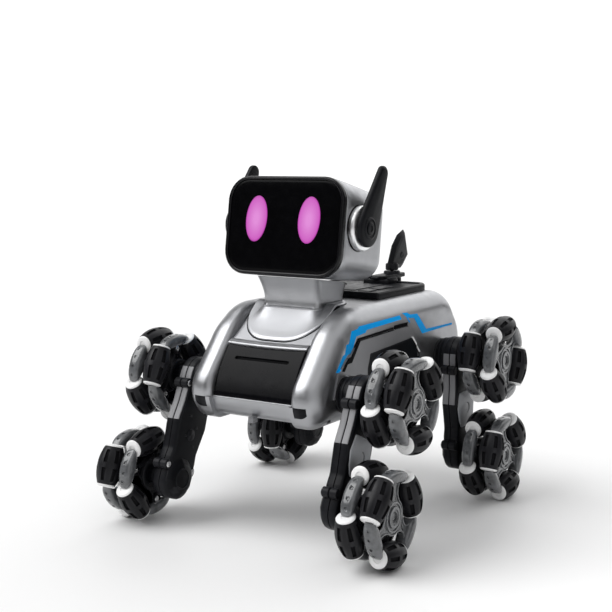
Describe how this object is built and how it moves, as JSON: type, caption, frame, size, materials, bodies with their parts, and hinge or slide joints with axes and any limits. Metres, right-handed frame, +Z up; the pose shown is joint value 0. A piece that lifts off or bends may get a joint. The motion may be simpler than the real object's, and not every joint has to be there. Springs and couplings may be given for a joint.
{
  "type": "robot dog toy",
  "caption": "Silver wheeled robot dog toy: screen face with oval eyes, swinging ears, head on a neck, and legs that each carry omni wheels at the shoulder and foot.",
  "frame": {"origin": "on the floor under the middle of the toy's overall box", "axes": "+Z up, the dog faces -Y, its left side is +X"},
  "size_m": [0.2434, 0.2698, 0.2648],
  "materials": {
    "silver_paint": "metallic silver paint on ABS",
    "grey_paint": "satin grey paint",
    "gloss_black": "gloss black",
    "black_plastic": "fine satin black ABS",
    "leg_black": "satin black ABS",
    "screen_glass": "polished dark acrylic",
    "eye_light": "lit magenta light pads on a dark board",
    "bright_ring": "chrome-look plating on ABS",
    "smoky_plastic": "smoky translucent grey",
    "roller_rubber": "soft black rubber with white end caps",
    "belt_rubber": "toothed rubber belt",
    "axle_steel": "nylon axle with its belt pulley",
    "motor_case": "motor can and gearbox",
    "screw_steel": "zinc plated",
    "battery_wrap": "shrink-wrapped cells",
    "board_green": "glass-epoxy board with components"
  },
  "bodies": {
    "torso": {"torso_upper_shell": "silver_paint", "torso_lower_shell": "silver_paint", "chest_panel": "gloss_black", "back_tray": "black_plastic", "corner_bumpers": "black_plastic", "side_panels": "grey_paint", "shoulder_bushes": "black_plastic", "drive_gearmotors": "motor_case", "belly_screws": "screw_steel", "tail_base": "black_plastic", "battery_pack": "battery_wrap", "circuit_board": "board_green", "speaker": "black_plastic", "neck_collar": "silver_paint"},
    "head": {"head_shell": "silver_paint", "face_bezel": "black_plastic", "face_screen": "screen_glass", "eye_display": "eye_light", "ear_rings": "bright_ring"},
    "left_ear": {"ear_left": "black_plastic"},
    "right_ear": {"ear_right": "black_plastic"},
    "tail_fin": {"tail": "black_plastic"},
    "door": {"battery_door": "black_plastic"},
    "switch": {"power_switch": "black_plastic"},
    "front_left_leg": {"front_left_leg_inner_housing": "leg_black", "front_left_leg_outer_housing": "leg_black", "front_left_drive_belt": "belt_rubber"},
    "front_left_upper_wheel": {"front_left_upper_axle": "axle_steel", "front_left_upper_wheel_frame": "smoky_plastic", "front_left_upper_wheel_rollers": "roller_rubber"},
    "front_left_lower_wheel": {"front_left_lower_axle": "axle_steel", "front_left_lower_wheel_frame": "smoky_plastic", "front_left_lower_wheel_rollers": "roller_rubber"},
    "front_right_leg": {"front_right_leg_inner_housing": "leg_black", "front_right_leg_outer_housing": "leg_black", "front_right_drive_belt": "belt_rubber"},
    "front_right_upper_wheel": {"front_right_upper_axle": "axle_steel", "front_right_upper_wheel_frame": "smoky_plastic", "front_right_upper_wheel_rollers": "roller_rubber"},
    "front_right_lower_wheel": {"front_right_lower_axle": "axle_steel", "front_right_lower_wheel_frame": "smoky_plastic", "front_right_lower_wheel_rollers": "roller_rubber"},
    "rear_left_leg": {"rear_left_leg_inner_housing": "leg_black", "rear_left_leg_outer_housing": "leg_black", "rear_left_drive_belt": "belt_rubber"},
    "rear_left_upper_wheel": {"rear_left_upper_axle": "axle_steel", "rear_left_upper_wheel_frame": "smoky_plastic", "rear_left_upper_wheel_rollers": "roller_rubber"},
    "rear_left_lower_wheel": {"rear_left_lower_axle": "axle_steel", "rear_left_lower_wheel_frame": "smoky_plastic", "rear_left_lower_wheel_rollers": "roller_rubber"},
    "rear_right_leg": {"rear_right_leg_inner_housing": "leg_black", "rear_right_leg_outer_housing": "leg_black", "rear_right_drive_belt": "belt_rubber"},
    "rear_right_upper_wheel": {"rear_right_upper_axle": "axle_steel", "rear_right_upper_wheel_frame": "smoky_plastic", "rear_right_upper_wheel_rollers": "roller_rubber"},
    "rear_right_lower_wheel": {"rear_right_lower_axle": "axle_steel", "rear_right_lower_wheel_frame": "smoky_plastic", "rear_right_lower_wheel_rollers": "roller_rubber"}
  },
  "joints": [
    {"name": "head_swivel", "type": "hinge", "parent": "torso", "child": "head", "pos_m": [0, -0.03875, 0.18203], "axis": [0, 0.1392, 0.9903], "range_deg": [-35, 35]},
    {"name": "ear_left_swing", "type": "hinge", "parent": "head", "child": "left_ear", "pos_m": [0.0505, -0.03688, 0.22044], "axis": [1, 0, 0], "range_deg": [-50, 40]},
    {"name": "ear_right_swing", "type": "hinge", "parent": "head", "child": "right_ear", "pos_m": [-0.0505, -0.03688, 0.22044], "axis": [1, 0, 0], "range_deg": [-50, 40]},
    {"name": "tail_wag", "type": "hinge", "parent": "torso", "child": "tail_fin", "pos_m": [0, 0.1065, 0.1763], "axis": [0, 0, 1], "range_deg": [-25, 25]},
    {"name": "battery_door_hinge", "type": "hinge", "parent": "torso", "child": "door", "pos_m": [0, 0.0485, 0.0853], "axis": [1, 0, 0], "range_deg": [0, 95]},
    {"name": "power_switch_slide", "type": "slide", "parent": "torso", "child": "switch", "axis": [0, 1, 0], "range_m": [0, 0.005]},
    {"name": "front_left_leg_swing", "type": "hinge", "parent": "torso", "child": "front_left_leg", "pos_m": [0.066, -0.0676, 0.10496], "axis": [1, 0, 0], "range_deg": [-65, 54]},
    {"name": "front_left_upper_wheel_spin", "type": "hinge", "parent": "front_left_leg", "child": "front_left_upper_wheel", "pos_m": [0.103, -0.0676, 0.10496], "axis": [1, 0, 0], "continuous": true},
    {"name": "front_left_lower_wheel_spin", "type": "hinge", "parent": "front_left_leg", "child": "front_left_lower_wheel", "pos_m": [0.103, -0.09978, 0.035], "axis": [1, 0, 0], "continuous": true},
    {"name": "front_right_leg_swing", "type": "hinge", "parent": "torso", "child": "front_right_leg", "pos_m": [-0.066, -0.0676, 0.10496], "axis": [1, 0, 0], "range_deg": [-65, 54]},
    {"name": "front_right_upper_wheel_spin", "type": "hinge", "parent": "front_right_leg", "child": "front_right_upper_wheel", "pos_m": [-0.103, -0.0676, 0.10496], "axis": [1, 0, 0], "continuous": true},
    {"name": "front_right_lower_wheel_spin", "type": "hinge", "parent": "front_right_leg", "child": "front_right_lower_wheel", "pos_m": [-0.103, -0.09978, 0.035], "axis": [1, 0, 0], "continuous": true},
    {"name": "rear_left_leg_swing", "type": "hinge", "parent": "torso", "child": "rear_left_leg", "pos_m": [0.066, 0.0846, 0.11197], "axis": [1, 0, 0], "range_deg": [-31, 88]},
    {"name": "rear_left_upper_wheel_spin", "type": "hinge", "parent": "rear_left_leg", "child": "rear_left_upper_wheel", "pos_m": [0.103, 0.0846, 0.11197], "axis": [1, 0, 0], "continuous": true},
    {"name": "rear_left_lower_wheel_spin", "type": "hinge", "parent": "rear_left_leg", "child": "rear_left_lower_wheel", "pos_m": [0.103, 0.08688, 0.035], "axis": [1, 0, 0], "continuous": true},
    {"name": "rear_right_leg_swing", "type": "hinge", "parent": "torso", "child": "rear_right_leg", "pos_m": [-0.066, 0.0846, 0.11197], "axis": [1, 0, 0], "range_deg": [-31, 88]},
    {"name": "rear_right_upper_wheel_spin", "type": "hinge", "parent": "rear_right_leg", "child": "rear_right_upper_wheel", "pos_m": [-0.103, 0.0846, 0.11197], "axis": [1, 0, 0], "continuous": true},
    {"name": "rear_right_lower_wheel_spin", "type": "hinge", "parent": "rear_right_leg", "child": "rear_right_lower_wheel", "pos_m": [-0.103, 0.08688, 0.035], "axis": [1, 0, 0], "continuous": true}
  ],
  "couplings": [
    {"joint": "front_left_lower_wheel_spin", "follows": "front_left_upper_wheel_spin", "ratio": 1},
    {"joint": "front_right_lower_wheel_spin", "follows": "front_right_upper_wheel_spin", "ratio": 1},
    {"joint": "rear_left_lower_wheel_spin", "follows": "rear_left_upper_wheel_spin", "ratio": 1},
    {"joint": "rear_right_lower_wheel_spin", "follows": "rear_right_upper_wheel_spin", "ratio": 1}
  ]
}
